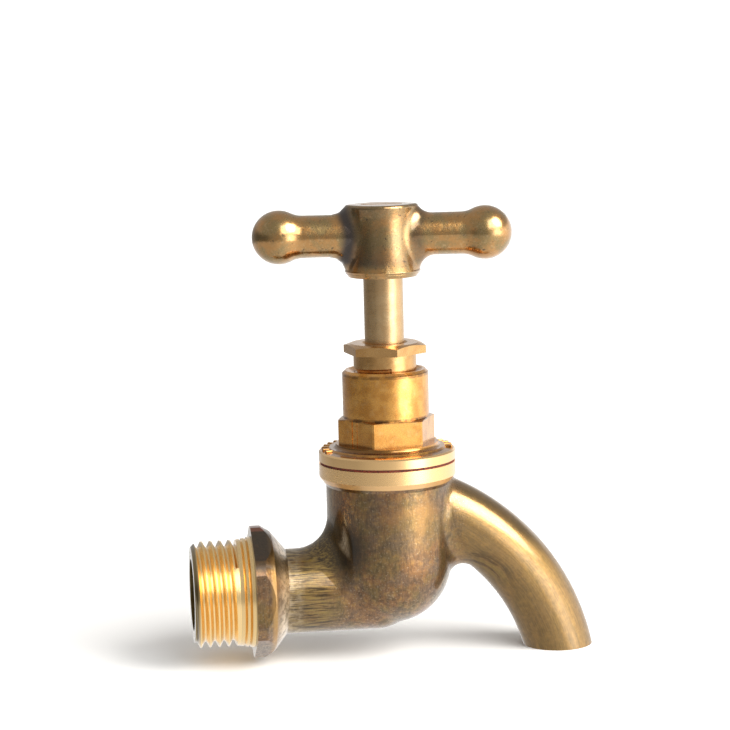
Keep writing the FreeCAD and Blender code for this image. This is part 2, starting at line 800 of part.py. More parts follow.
def handle_core():
    """Waisted hub, longer than it ends up at both ends so that the arms' fillets have room."""
    waist = hub_waist_diameter / 2
    centre = (waist + hub_waist_radius, hub_waist_height)
    bottom = hub_bottom - arm_fillet
    top = hub_top + arm_fillet
    low = math.degrees(math.asin((hub_waist_height - bottom) / hub_waist_radius))
    high = math.degrees(math.asin((top - hub_waist_height) / hub_waist_radius))
    start = arc_middle(centre, hub_waist_radius, 180 + low)
    end = arc_middle(centre, hub_waist_radius, 180 - high)
    return turned((0, bottom), start, ((waist, hub_waist_height), end), (0, top))


def handle_lip():
    """Tapered lip round the hub's foot."""
    lip = hub_lip_diameter / 2
    edge = hub_lip_edge
    top = hub_bottom + hub_lip_height
    over = arc_middle((lip - edge, top - edge), edge, 45)
    return turned(
        (0, hub_bottom), (hub_foot_diameter / 2, hub_bottom), (lip, top - edge), (over, (lip - edge, top)),
        (0, top),
    )


def handle_screw_shape(fit):
    """Countersunk screw, or with a fit the hole that it leaves in the hub."""
    head = handle_screw_head_diameter / 2 + fit
    shank = handle_screw_diameter / 2 + fit
    bottom = hub_top - handle_screw_length
    cone_bottom = hub_top - (head - shank)
    return turned((0, bottom), (shank, bottom), (shank, cone_bottom), (head, hub_top), (0, hub_top))


def make_handle():
    """T-handle casting with its square socket and the countersink of its screw."""
    solid = handle_core()
    for side in (1, -1):
        solid = fused_with_fillet(solid, handle_arm(side), arm_fillet)
    reach = 2 * (ball_offset + ball_diameter)
    solid = solid.common(rod(reach, hub_bottom + hub_lip_height / 2, hub_top))
    top_edges = [edge for edge in solid.Edges if edge.BoundBox.ZMin > hub_top - touching]
    solid = solid.makeFillet(hub_edge_radius, top_edges)
    solid = solid.fuse(handle_lip())
    socket_top = square_top + square_end_room
    socket = prism(4, square_flats + 2 * square_fit, hub_bottom, socket_top, handle_turn)
    socket = socket.common(rod(stem_diameter + 2 * stem_fit, hub_bottom, socket_top))
    counterbore = rod(stem_diameter + 2 * stem_fit, hub_bottom - beyond, square_bottom + square_fit)
    return solid.cut(socket).cut([counterbore, handle_screw_shape(handle_screw_fit)])


def make_handle_screw():
    """Countersunk screw with a straight slot, flush with the hub's top."""
    slot = Part.makeBox(
        2 * handle_screw_head_diameter, screw_slot_width, 2 * screw_slot_depth,
        Vector(stem_x - handle_screw_head_diameter, -screw_slot_width / 2, hub_top - screw_slot_depth),
    )
    return handle_screw_shape(0).cut(slot)


def make_nodes():
    """Every piece of the tap by its node name."""
    nodes = {
        "body": make_body(),
        "body_washer": make_body_washer(),
        "bonnet": make_bonnet(),
        "gland_nut": make_gland_nut(),
        "spindle": make_spindle(),
        "jumper": make_jumper(),
        "jumper_snap_ring": make_snap_ring(),
        "seat_washer": make_seat_washer(),
        "washer_plate": make_washer_plate(),
        "washer_nut": make_washer_nut(),
        "handle": make_handle(),
        "handle_screw": make_handle_screw(),
    }
    nodes.update(make_packing())
    return nodes


os.makedirs("parts", exist_ok=True)
for name, shape in make_nodes().items():
    shape.exportStep("parts/%s.step" % name)
    box = shape.BoundBox
    print(
        "%-18s solids %d valid %s volume %.1f  x %.2f..%.2f  y %.2f..%.2f  z %.2f..%.2f"
        % (name, len(shape.Solids), shape.isValid(), shape.Volume,
           box.XMin, box.XMax, box.YMin, box.YMax, box.ZMin, box.ZMax)
    )
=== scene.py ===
"""Looks of a brass bib tap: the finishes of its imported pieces, its cast pips, and the stage it stands on."""

import logging
import math
from dataclasses import dataclass
from enum import Enum

import bmesh
import bpy
from mathutils import Matrix, Vector


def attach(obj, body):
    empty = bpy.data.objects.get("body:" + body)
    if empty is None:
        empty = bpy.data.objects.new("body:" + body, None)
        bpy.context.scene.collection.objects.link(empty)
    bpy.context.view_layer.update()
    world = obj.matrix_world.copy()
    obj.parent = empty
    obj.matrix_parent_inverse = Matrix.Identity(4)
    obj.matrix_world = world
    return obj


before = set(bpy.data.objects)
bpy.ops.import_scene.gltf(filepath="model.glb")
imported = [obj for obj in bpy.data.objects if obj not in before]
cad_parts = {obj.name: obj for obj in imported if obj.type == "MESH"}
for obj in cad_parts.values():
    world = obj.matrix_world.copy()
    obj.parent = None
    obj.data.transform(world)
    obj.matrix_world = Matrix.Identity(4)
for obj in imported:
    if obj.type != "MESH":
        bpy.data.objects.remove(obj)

LOG = logging.getLogger("tap")
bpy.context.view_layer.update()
MM = 0.001

# Axis of the spindle in the row frame, the height that the spout's mouth stands on, and the spout's bend
STEM_X = 27.5 * MM
FLOOR_Z = -13.9 * MM
BEND_X = 20.0 * MM
BEND_Z = -23.8 * MM
BEND_RADIUS = 42.4 * MM

# Middle of the crook between the chamber and the spout
CROOK_X = 42.5 * MM
CROOK_Z = -2.5 * MM

# Roughness of the thin film of old oil on the brass
FILM_ROUGHNESS = 0.12


class Lay(Enum):
    """Direction in which a tool has left its marks."""

    ROUND_STEM = "turned about the spindle"
    ROUND_INLET = "turned about the inlet"
    ALONG_INLET = "filed along the barrel"
    ALONG_SPOUT = "linished along the spout's bend"
    ROUND_CROOK = "folded round the crook between chamber and spout"
    UPRIGHT = "drawn up and down"


def linear(code: str) -> tuple[float, float, float, float]:
    """Turns a colour's sRGB hex code into the linear values that shaders take.

    Args:
        code: six hex digits, such as "8a6a35".

    Returns:
        Linear red, green, blue and an alpha of one.
    """
    values = []
    for start in (0, 2, 4):
        share = int(code[start:start + 2], 16) / 255
        values.append(share / 12.92 if share <= 0.04045 else ((share + 0.055) / 1.055) ** 2.4)
    return values[0], values[1], values[2], 1.0


def add_node(
    tree: bpy.types.NodeTree, kind: str, inputs: dict | None = None, **settings: object,
) -> bpy.types.Node:
    """Adds a node with its settings and links.

    Args:
        tree: node tree of a material or of the world.
        kind: Blender's name of the node's type.
        inputs: value, or output socket to link, by the input's name or number.
        **settings: the node's own properties.

    Returns:
        The new node.
    """
    node = tree.nodes.new(kind)
    for name, value in settings.items():
        setattr(node, name, value)
    for name, value in (inputs or {}).items():
        if isinstance(value, bpy.types.NodeSocket):
            tree.links.new(value, node.inputs[name])
        else:
            node.inputs[name].default_value = value
    return node


@dataclass(frozen=True)
class Span:
    """Stretch in millimetres over which a mask goes softly from its start level to its end level."""

    low_mm: float
    high_mm: float
    start: float = 0.0
    end: float = 1.0


class Surface:
    """A finish in the making: the coordinates that it is drawn on, and the patterns and mixes made of them."""

    def __init__(self, name: str) -> None:
        """Starts an empty material with the coordinates of the row frame.

        Args:
            name: the material's name.
        """
        self.material = bpy.data.materials.new(name)
        self.material.use_nodes = True
        self.tree = self.material.node_tree
        self.tree.nodes.clear()
        self.point = add_node(self.tree, "ShaderNodeTexCoord").outputs["Object"]
        split = add_node(self.tree, "ShaderNodeSeparateXYZ", {0: self.point})
        self.x, self.y, self.z = split.outputs[0], split.outputs[1], split.outputs[2]
        self.across = self.math("SUBTRACT", self.x, STEM_X)
        self.reach = self.length(self.across, self.y)
        self.inlet_reach = self.length(self.y, self.z)

    def math(
        self, operation: str, first: object, second: object = 0.0, third: object = 0.0,
    ) -> bpy.types.NodeSocket:
        """Result of a math node.

        Args:
            operation: the node's operation.
            first: value or socket.
            second: value or socket.
            third: value or socket, for the operations that take three.

        Returns:
            The node's output.
        """
        inputs = {0: first, 1: second, 2: third}
        return add_node(self.tree, "ShaderNodeMath", inputs, operation=operation).outputs[0]

    def length(self, first: object, second: object) -> bpy.types.NodeSocket:
        """Distance from an axis, from the two coordinates across it.

        Args:
            first: one coordinate.
            second: the other coordinate.

        Returns:
            The distance.
        """
        squares = self.math(
            "ADD", self.math("MULTIPLY", first, first), self.math("MULTIPLY", second, second),
        )
        return self.math("SQRT", squares)

    def between(
        self, value: object, low: float, high: float, start: float = 0.0, end: float = 1.0,
    ) -> bpy.types.NodeSocket:
        """Value mapped smoothly from low..high to start..end, and held outside it.

        Args:
            value: value or socket to map.
            low: value that gives the start level.
            high: value that gives the end level.
            start: level at and before the low value.
            end: level at and past the high value.

        Returns:
            The mapped value.
        """
        inputs = {"Value": value, "From Min": low, "From Max": high, "To Min": start, "To Max": end}
        node = add_node(self.tree, "ShaderNodeMapRange", inputs, interpolation_type="SMOOTHSTEP")
        return node.outputs[0]

    def over(self, value: object, span: Span) -> bpy.types.NodeSocket:
        """Mask that follows a coordinate over a span."""
        return self.between(value, span.low_mm * MM, span.high_mm * MM, span.start, span.end)

    def mix(self, share: object, first: object, second: object) -> bpy.types.NodeSocket:
        """Colour between two colours."""
        inputs = {0: share, 6: first, 7: second}
        return add_node(self.tree, "ShaderNodeMix", inputs, data_type="RGBA").outputs[2]

    def blend(self, share: object, first: object, second: object) -> bpy.types.NodeSocket:
        """Number between two numbers."""
        inputs = {0: share, 2: first, 3: second}
        return add_node(self.tree, "ShaderNodeMix", inputs, data_type="FLOAT").outputs[0]

    def noise(
        self, size_mm: float, detail: float = 4.0, roughness: float = 0.55, vector: object = None,
    ) -> bpy.types.NodeSocket:
        """Soft random pattern with patches of about the given size.

        Args:
            size_mm: width of a patch.
            detail: octaves of the noise.
            roughness: share of the finer octaves.
            vector: coordinates to read it at, or the row frame when left out.

        Returns:
            The pattern's value.
        """
        inputs = {
            "Vector": vector or self.point, "Scale": 1 / (size_mm * MM), "Detail": detail,
            "Roughness": roughness,
        }
        return add_node(self.tree, "ShaderNodeTexNoise", inputs).outputs[0]

    def shifted(self, size_mm: float, shift_mm: float, detail: float = 4.0) -> bpy.types.NodeSocket:
        """Soft random pattern read elsewhere, so that it does not follow the other patterns.

        Args:
            size_mm: width of a patch.
            shift_mm: how far away it is read, along each axis.
            detail: octaves of the noise.

        Returns:
            The pattern's value.
        """
        inputs = {0: self.point, 1: (shift_mm * MM, shift_mm * MM, shift_mm * MM)}
        place = add_node(self.tree, "ShaderNodeVectorMath", inputs, operation="ADD").outputs[0]
        return self.noise(size_mm, detail, 0.55, place)

    def stretched(self, size_mm: float, lay: Lay, ratio: float, detail: float = 3.0) -> bpy.types.NodeSocket:
        """Noise drawn out along a tool's lay, so that it reads as scratches or turning rings.

        Args:
            size_mm: width of a mark across the lay.
            lay: direction of the marks.
            ratio: how many times longer than wide a mark is.
            detail: octaves of the noise.

        Returns:
            The noise's value.
        """
        if lay is Lay.ROUND_STEM:
            parts = (self.reach, self.math("DIVIDE", self.x, ratio), self.z)
        elif lay is Lay.ROUND_INLET:
            parts = (self.x, self.math("DIVIDE", self.y, ratio), self.inlet_reach)
        elif lay is Lay.ALONG_INLET:
            parts = (self.math("DIVIDE", self.x, ratio), self.y, self.z)
        elif lay is Lay.ALONG_SPOUT:
            over = self.math("SUBTRACT", self.x, BEND_X)
            above = self.math("SUBTRACT", self.z, BEND_Z)
            turn = self.math("ARCTAN2", above, over)
            parts = (self.length(over, above), self.y, self.math("MULTIPLY", turn, BEND_RADIUS / ratio))
        elif lay is Lay.ROUND_CROOK:
            over = self.math("SUBTRACT", self.x, CROOK_X)
            above = self.math("SUBTRACT", self.z, CROOK_Z)
            wide = self.math("DIVIDE", self.x, ratio)
            parts = (self.length(over, above), wide, self.math("DIVIDE", self.y, ratio))
        else:
            parts = (self.x, self.y, self.math("DIVIDE", self.z, ratio))
        vector = add_node(self.tree, "ShaderNodeCombineXYZ", dict(enumerate(parts))).outputs[0]
        return self.noise(size_mm, detail, 0.6, vector)

    def finish(
        self, colour: object, roughness: object, height: object, height_mm: float, metal: float = 1.0,
        film: float = 0.0,
    ) -> bpy.types.Material:
        """Joins colour, roughness and height to the shader.

        Args:
            colour: base colour.
            roughness: roughness.
            height: bump pattern, from 0 to 1.
            height_mm: depth of the bump pattern.
            metal: metallic share, a fixed value on the shader's own socket.
            film: share of a clear film of oil over the metal, a fixed value as well.

        Returns:
            The finished material.
        """
        relief = {"Height": height, "Distance": height_mm * MM, "Strength": 1.0}
        bump = add_node(self.tree, "ShaderNodeBump", relief)
        inputs = {
            "Base Color": colour, "Roughness": roughness, "Metallic": metal, "Normal": bump.outputs[0],
            "Coat Weight": film, "Coat Roughness": FILM_ROUGHNESS,
        }
        shader = add_node(self.tree, "ShaderNodeBsdfPrincipled", inputs)
        add_node(self.tree, "ShaderNodeOutputMaterial", {"Surface": shader.outputs[0]})
        return self.material


@dataclass(frozen=True)
class CastMarks:
    """Patterns that the casting's finish is mixed from, as sockets from 0 to 1."""

    cloud: object
    other: object
    mottle: object
    grit: object
    drawn: object
    filed: object
    linished: object
    rings: object


@dataclass(frozen=True)
class CastBrass:
    """Sand-cast brass, tumbled and browned; thread and flange turned bright, barrel filed, spout linished.

    The eye sees a brown metal with soft olive, copper and grey clouds, fine grit, long golden file marks on the
    barrel, a smoother golden spout, and bright gold where a lathe has cut it.
    """

    name: str = "cast_brass_tumbled"
    olive: str = "836b3f"
    copper: str = "92683e"
    grey: str = "78624e"
    gold: str = "bd9150"
    # Dark colour of real dirt and marks, and of the painted shade in corners and on the collar
    grime_and_shade: str = "33291a"
    # Pale colour of the grit specks and of the painted highlights on the cone
    pale: str = "e6cfae"
    # Reddish colour of the collar's top edge
    top_edge_red: str = "8f5a44"
    filed: str = "9f8747"
    # Colour of the painted shade on the inlet's front face and in its bore
    mouth: str = "6f5e34"
    spout: str = "a07e48"
    thread: str = "f7d596"
    band: str = "fdd090"

    # Sizes of the patterns
    cloud_mm: float = 5.0
    mottle_mm: float = 1.1
    grit_mm: float = 0.35
    scratch_mm: float = 0.25
    ring_mm: float = 0.2
    fold_mm: float = 0.8
    bump_mm: float = 0.02
    film: float = 0.8

    # Painted shade in the corner where the barrel meets the chamber (x, z), and a painted highlight of gold on
    # the chamber (from the stem, z)
    corner_shade_mm: tuple[float, float] = (16.4, 9.2)
    corner_shade_fade: Span = Span(2.5, 7.5, 0.97, 0.0)
    lit_patch_mm: tuple[float, float] = (4.5, 14.5)
    lit_patch_fade: Span = Span(1.0, 8.0, 0.55, 0.0)

    # Barrel along x, spout out from the stem, its worn upper part up z, and the crook's folds
    barrel_start: Span = Span(5.0, 8.0)
    barrel_end: Span = Span(13.0, 18.0, 1.0, 0.0)
    spout_start: Span = Span(10.5, 15.5)
    spout_worn: Span = Span(3.5, 11.5)
    crook_reach: Span = Span(8.6, 10.8, 1.0, 0.0)
    crook_foot: Span = Span(-1.0, 3.0)

    # Turned faces: thread and mouth along x, mouth's bore about the inlet, flange up z and about the stem
    thread_end: Span = Span(-0.1, 0.05, 1.0, 0.0)
    mouth_end: Span = Span(-11.2, -10.8, 1.0, 0.0)
    mouth_bore: Span = Span(7.4, 8.0, 1.0, 0.0)
    flange_bottom_mm: float = 21.2
    flange_edge_mm: float = 0.1
    flange_reach: Span = Span(13.5, 13.7, 1.0, 0.0)
    taper_end: Span = Span(22.1, 22.4, 1.0, 0.0)

    # Collar: painted shade on the upper sides, a reddish band on the top edge, a gold band on the ridge,
    # painted speckled highlights on the cone
    collar_front: Span = Span(3.4, 4.2, 1.0, 0.0)
    collar_top_shade: Span = Span(6.0, 7.2, 0.0, 0.85)
    collar_edge: Span = Span(12.3, 12.5, 0.0, 0.8)
    ridge_start: Span = Span(2.6, 3.4)
    ridge_end: Span = Span(3.8, 4.6, 1.0, 0.0)
    ridge_height: Span = Span(5.0, 7.0, 0.6, 0.1)
    cone_edge: Span = Span(3.9, 4.5)
    cone_start: Span = Span(4.4, 5.6, 0.35, 1.0)
    cone_end: Span = Span(8.4, 10.0, 1.0, 0.0)

    def build(self) -> bpy.types.Material:
        """Builds the material."""
        s = Surface(self.name)
        marks = self.patterns(s)
        barrel = s.math("MULTIPLY", s.over(s.x, self.barrel_start), s.over(s.x, self.barrel_end))
        spout = s.over(s.across, self.spout_start)
        thread = s.over(s.x, self.thread_end)
        band = self.flange(s)
        machined = s.math("MAXIMUM", thread, band)
        # Painted shade: the dark colour laid into the corner where the barrel meets the chamber
        x_mm, z_mm = self.corner_shade_mm
        corner_shade = s.length(s.math("SUBTRACT", s.x, x_mm * MM), s.math("SUBTRACT", s.z, z_mm * MM))
        corner_shade = s.over(corner_shade, self.corner_shade_fade)
        colour = s.mix(corner_shade, self.skin(s, marks), linear(self.grime_and_shade))
        colour = self.paint_lit_patch(s, colour, marks)
        colour = self.collar(s, colour, marks.mottle)
        colour = self.file_barrel(s, colour, marks, barrel)
        colour = s.mix(s.math("MULTIPLY", spout, 0.8), colour, self.streaks(s, marks))
        colour = s.mix(thread, colour, linear(self.thread))
        colour = self.paint_mouth_shade(s, colour, thread)
        colour = s.mix(band, colour, linear(self.band))
        rough = s.between(s.math("ADD", marks.mottle, marks.grit), 0.7, 1.25, 0.46, 0.28)
        rough = s.blend(corner_shade, rough, 0.6)
        rough = s.blend(spout, rough, self.spout_roughness(s, marks))
        rough = s.blend(machined, rough, s.between(marks.rings, 0.3, 0.7, 0.22, 0.32))
        rough = s.blend(s.math("MULTIPLY", band, s.over(s.z, self.taper_end)), rough, 0.5)
        height = self.relief(s, marks, barrel, spout)
        height = s.blend(machined, height, s.math("MULTIPLY", marks.rings, 0.4))
        return s.finish(colour, rough, height, self.bump_mm, film=self.film)

    def patterns(self, s: Surface) -> CastMarks:
        """Draws the casting's clouds and grit and the tools' marks.

        Args:
            s: the finish in the making.

        Returns:
            The patterns.
        """
        return CastMarks(
            cloud=s.noise(self.cloud_mm, 5.0, 0.6),
            other=s.shifted(self.cloud_mm, 31.0),
            mottle=s.noise(self.mottle_mm, 4.0, 0.6),
            grit=s.shifted(self.grit_mm, 17.0, 2.0),
            drawn=s.stretched(self.grit_mm, Lay.UPRIGHT, 5.0),
            filed=s.stretched(self.scratch_mm, Lay.ALONG_INLET, 16.0),
            linished=s.stretched(self.scratch_mm, Lay.ALONG_SPOUT, 14.0),
            rings=s.stretched(self.ring_mm, Lay.ROUND_INLET, 30.0),
        )

    def skin(self, s: Surface, marks: CastMarks) -> bpy.types.NodeSocket:
        """Colour of the tumbled casting, as it is away from every tool's mark.

        Args:
            s: the finish in the making.
            marks: the casting's patterns.

        Returns:
            The colour.
        """
        cast = s.mix(s.between(marks.cloud, 0.4, 0.6), linear(self.olive), linear(self.copper))
        cast = s.mix(s.between(marks.other, 0.42, 0.64, 0.0, 0.7), cast, linear(self.grey))
        cast = s.mix(s.between(marks.mottle, 0.48, 0.74, 0.0, 0.5), cast, linear(self.gold))
        cast = s.mix(s.between(marks.mottle, 0.28, 0.5, 0.45, 0.0), cast, linear(self.grime_and_shade))
        cast = s.mix(s.between(marks.drawn, 0.35, 0.58, 0.35, 0.0), cast, linear(self.grime_and_shade))
        return s.mix(s.between(marks.grit, 0.56, 0.76, 0.0, 0.3), cast, linear(self.pale))

    def paint_lit_patch(self, s: Surface, cast: object, marks: CastMarks) -> bpy.types.NodeSocket:
        """Paints a highlight, a soft patch of gold, on the front of the chamber.

        Args:
            s: the finish in the making.
            cast: the colour so far.
            marks: the casting's patterns.

        Returns:
            The colour with the painted highlight.
        """
        across_mm, z_mm = self.lit_patch_mm
        away = s.length(s.math("SUBTRACT", s.across, across_mm * MM), s.math("SUBTRACT", s.z, z_mm * MM))
        patchy = s.between(marks.cloud, 0.35, 0.6, 0.3, 1.0)
        # Painted highlight: gold laid on the chamber right of the spindle, where the light falls
        lit_patch = s.math("MULTIPLY", s.over(away, self.lit_patch_fade), patchy)
        return s.mix(lit_patch, cast, linear(self.gold))

    def file_barrel(
        self, s: Surface, cast: object, marks: CastMarks, barrel: object,
    ) -> bpy.types.NodeSocket:
        """Draws light and dark file marks along the barrel.

        Args:
            s: the finish in the making.
            cast: the colour so far.
            marks: the casting's patterns.
            barrel: the barrel's share.

        Returns:
            The colour with the file marks.
        """
        light = s.between(marks.filed, 0.47, 0.66, 0.0, 0.6)
        dark = s.between(marks.filed, 0.36, 0.54, 0.9, 0.0)
        cast = s.mix(s.math("MULTIPLY", barrel, 0.6), cast, linear(self.olive))
        cast = s.mix(s.math("MULTIPLY", barrel, light), cast, linear(self.filed))
        return s.mix(s.math("MULTIPLY", barrel, dark), cast, linear(self.grime_and_shade))

    def streaks(self, s: Surface, marks: CastMarks) -> bpy.types.NodeSocket:
        """Colour of the linished spout, with the folds of the crook below it.

        Args:
            s: the finish in the making.
            marks: the casting's patterns.

        Returns:
            The colour.
        """
        share = s.between(marks.linished, 0.35, 0.62, 0.2, 1.0)
        streaks = s.mix(share, linear(self.olive), linear(self.spout))
        streaks = s.mix(s.between(marks.mottle, 0.45, 0.75, 0.0, 0.3), streaks, linear(self.gold))
        crook = s.length(s.math("SUBTRACT", s.x, CROOK_X), s.math("SUBTRACT", s.z, CROOK_Z))
        crook = s.math("MULTIPLY", s.over(crook, self.crook_reach), s.over(s.z, self.crook_foot))
        folds = s.stretched(self.fold_mm, Lay.ROUND_CROOK, 12.0)
        dark = s.between(folds, 0.38, 0.5, 0.6, 0.0)
        light = s.between(folds, 0.5, 0.62, 0.0, 0.5)
        streaks = s.mix(s.math("MULTIPLY", crook, dark), streaks, linear(self.grime_and_shade))
        return s.mix(s.math("MULTIPLY", crook, light), streaks, linear(self.filed))

    def flange(self, s: Surface) -> bpy.types.NodeSocket:
        """Share of the turned flange: above its lower edge, and not past its rim towards the spout.

        Args:
            s: the finish in the making.

        Returns:
            The share.
        """
        low = (self.flange_bottom_mm - self.flange_edge_mm) * MM
        high = (self.flange_bottom_mm + self.flange_edge_mm) * MM
        return s.math("MULTIPLY", s.between(s.z, low, high), s.over(s.reach, self.flange_reach))

    def paint_mouth_shade(self, s: Surface, colour: object, thread: object) -> bpy.types.NodeSocket:
        """Paints shade on the inlet's front face and in its bore.

        Args:
            s: the finish in the making.
            colour: the colour so far.
            thread: the thread's share.

        Returns:
            The colour with the painted shade in the mouth.
        """
        # Painted shade on the inlet's front face and in its bore
        mouth = s.math("MAXIMUM", s.over(s.x, self.mouth_end), s.over(s.inlet_reach, self.mouth_bore))
        share = s.math("MULTIPLY", s.math("MULTIPLY", mouth, thread), 0.9)
        return s.mix(share, colour, linear(self.mouth))

    def spout_roughness(self, s: Surface, marks: CastMarks) -> bpy.types.NodeSocket:
        """Roughness of the spout: dull low down, smoother where it is worn.

        Args:
            s: the finish in the making.
            marks: the casting's patterns.

        Returns:
            The roughness.
        """
        dull = s.between(marks.mottle, 0.3, 0.7, 0.56, 0.44)
        smooth = s.between(marks.linished, 0.3, 0.7, 0.27, 0.18)
        return s.blend(s.over(s.z, self.spout_worn), dull, smooth)

    def relief(self, s: Surface, marks: CastMarks, barrel: object, spout: object) -> bpy.types.NodeSocket:
        """Height of the casting's skin, the barrel's file marks and the spout's linishing.

        Args:
            s: the finish in the making.
            marks: the casting's patterns.
            barrel: the barrel's share.
            spout: the spout's share.

        Returns:
            The height.
        """
        skin = s.math("MULTIPLY_ADD", marks.mottle, 2.2, s.math("MULTIPLY", marks.drawn, 1.2))
        height = s.blend(barrel, skin, s.math("MULTIPLY", marks.filed, 2.2))
        lined = s.math("MULTIPLY_ADD", marks.linished, 0.7, s.math("MULTIPLY", marks.mottle, 1.4))
        return s.blend(spout, height, lined)

    def collar(self, s: Surface, cast: object, mottle: object) -> bpy.types.NodeSocket:
        """Paints shade on the collar's upper sides and speckled highlights on the cone behind it.

        Args:
            s: the finish in the making.
            cast: the colour so far.
            mottle: pattern that breaks the cone's painted highlight into speckles.

        Returns:
            The colour with the collar's painted shade, its edge bands and the cone's painted highlights.
        """
        front = s.over(s.x, self.collar_front)
        # Painted shade: the collar's upper sides made darker
        cast = s.mix(s.math("MULTIPLY", s.over(s.z, self.collar_top_shade), front), cast, linear(self.grime_and_shade))
        # A reddish band along the collar's top edge
        cast = s.mix(s.math("MULTIPLY", s.over(s.z, self.collar_edge), front), cast, linear(self.top_edge_red))
        # A gold band along the ridge where the flats meet the cone, fainter towards the top
        ridge = s.math("MULTIPLY", s.over(s.x, self.ridge_start), s.over(s.x, self.ridge_end))
        ridge = s.math("MULTIPLY", ridge, s.over(s.z, self.ridge_height))
        cast = s.mix(ridge, cast, linear(self.gold))
        # Painted highlights: pale speckles on the cone behind the collar
        cone = s.math("MULTIPLY", s.over(s.x, self.cone_start), s.over(s.x, self.cone_end))
        cone = s.math("MULTIPLY", cone, s.over(s.x, self.cone_edge))
        cone = s.math("MULTIPLY", cone, s.between(mottle, 0.4, 0.6, 0.3, 0.95))
        return s.mix(cone, cast, linear(self.pale))


@dataclass(frozen=True)
class TurnedBrass:
    """Brass turned on a lathe or hot-stamped and cleaned: warm gold, with soft blotches and faint rings."""

    name: str
    tone: str
    deep: str
    pale: str
    blotch_mm: float = 3.0
    ring_mm: float = 0.2
    roughness: float = 0.24
    film: float = 0.4

    def build(self) -> bpy.types.Material:
        """Builds the material."""
        s = Surface(self.name)
        blotch = s.noise(self.blotch_mm, 4.0, 0.55)
        other = s.shifted(self.blotch_mm * 0.6, 23.0)
        rings = s.stretched(self.ring_mm, Lay.ROUND_STEM, 40.0)
        fine = s.noise(0.35, 2.0)
        colour = s.mix(s.between(blotch, 0.35, 0.62, 0.45, 0.0), linear(self.tone), linear(self.deep))
        colour = s.mix(s.between(other, 0.52, 0.78, 0.0, 0.4), colour, linear(self.pale))
        smooth, dull = self.roughness - 0.04, self.roughness + 0.06
        roughness = s.between(s.math("ADD", rings, fine), 0.7, 1.3, smooth, dull)
        height = s.math("MULTIPLY_ADD", rings, 0.3, s.math("MULTIPLY", fine, 0.5))
        return s.finish(colour, roughness, height, 0.006, film=self.film)


@dataclass(frozen=True)
class HeadworkBrass:
    """Hot-stamped brass of the headwork, turned bright on its flange's rim, with oil and painted shade where
    its steps meet.
    """

    name: str = "headwork_brass_stamped"
    tone: str = "e8aa54"
    deep: str = "c48334"
    pale: str = "f2c484"
    rim: str = "fdd090"
    # Dark colour of the oil and the painted shade
    grime_and_shade: str = "6b4316"
    blotch_mm: float = 2.6
    film: float = 0.7

    # Rim of the flange, up z and about the stem
    rim_top: Span = Span(27.3, 27.5, 1.0, 0.0)
    rim_reach: Span = Span(12.9, 13.2)

    # Oil and painted shade at the hexagon's foot, deeper on the front left, and on the flange's land, up z and
    # about the stem
    foot_top: Span = Span(28.1, 29.6, 1.0, 0.0)
    foot_reach: Span = Span(10.9, 11.8, 1.0, 0.0)
    shade_side: Span = Span(-14.0, 8.0, 1.0, 0.35)
    land_start: Span = Span(11.2, 11.6)
    land_end: Span = Span(12.8, 13.0, 1.0, 0.0)
    land_top: Span = Span(27.6, 27.95, 0.7, 0.0)

    # Seams of oil and painted shade where the steps meet: height, half width and greatest share of each
    shaded_seams: tuple[tuple[float, float, float], ...] = (
        (33.84, 0.5, 0.9), (42.35, 0.45, 0.65), (28.9, 0.3, 0.5),
    )

    def build(self) -> bpy.types.Material:
        """Builds the material."""
        s = Surface(self.name)
        blotch = s.noise(self.blotch_mm, 4.0, 0.55)
        other = s.shifted(1.6, 23.0)
        fine = s.noise(0.4, 3.0)
        colour = s.mix(s.between(blotch, 0.36, 0.62, 0.7, 0.0), linear(self.tone), linear(self.deep))
        colour = s.mix(s.between(other, 0.52, 0.78, 0.0, 0.4), colour, linear(self.pale))
        rim = s.math("MULTIPLY", s.over(s.z, self.rim_top), s.over(s.reach, self.rim_reach))
        oil_and_shade = self.oil_and_shade(s, other)
        colour = s.mix(oil_and_shade, colour, linear(self.grime_and_shade))
        colour = s.mix(rim, colour, linear(self.rim))
        rough = s.between(s.math("ADD", other, fine), 0.75, 1.25, 0.3, 0.22)
        rough = s.blend(rim, rough, 0.15)
        height = s.blend(rim, s.math("MULTIPLY_ADD", other, 0.8, fine), 0.5)
        return s.finish(colour, rough, height, 0.01, film=self.film)

    def oil_and_shade(self, s: Surface, patches: object) -> bpy.types.NodeSocket:
        """Share of old oil and painted shade: round the hexagon's foot, on its ledges, under the tower's rim,
        on the land.

        Args:
            s: the finish in the making.
            patches: pattern that breaks the oil and painted shade up.

        Returns:
            The share of oil and painted shade, from 0 to 1.
        """
        broken = s.between(patches, 0.38, 0.6, 0.35, 1.0)
        # Painted shade at the hexagon's foot, deepest towards the front left
        near_shade = s.over(s.math("ADD", s.across, s.y), self.shade_side)
        foot = s.math("MULTIPLY", s.over(s.z, self.foot_top), s.over(s.reach, self.foot_reach))
        share = s.math("MULTIPLY", s.math("MULTIPLY", foot, near_shade), 0.85)
        # Oil and painted shade in the seams where the steps meet
        for centre_mm, half_mm, most in self.shaded_seams:
            away = s.math("ABSOLUTE", s.math("SUBTRACT", s.z, centre_mm * MM))
            seam_shade = s.math("MULTIPLY", s.between(away, half_mm * 0.4 * MM, half_mm * MM, most, 0.0), broken)
            share = s.math("MAXIMUM", share, seam_shade)
        land = s.math("MULTIPLY", s.over(s.reach, self.land_start), s.over(s.reach, self.land_end))
        land = s.math("MULTIPLY", land, s.over(s.z, self.land_top))
        return s.math("MAXIMUM", share, s.math("MULTIPLY", land, broken))


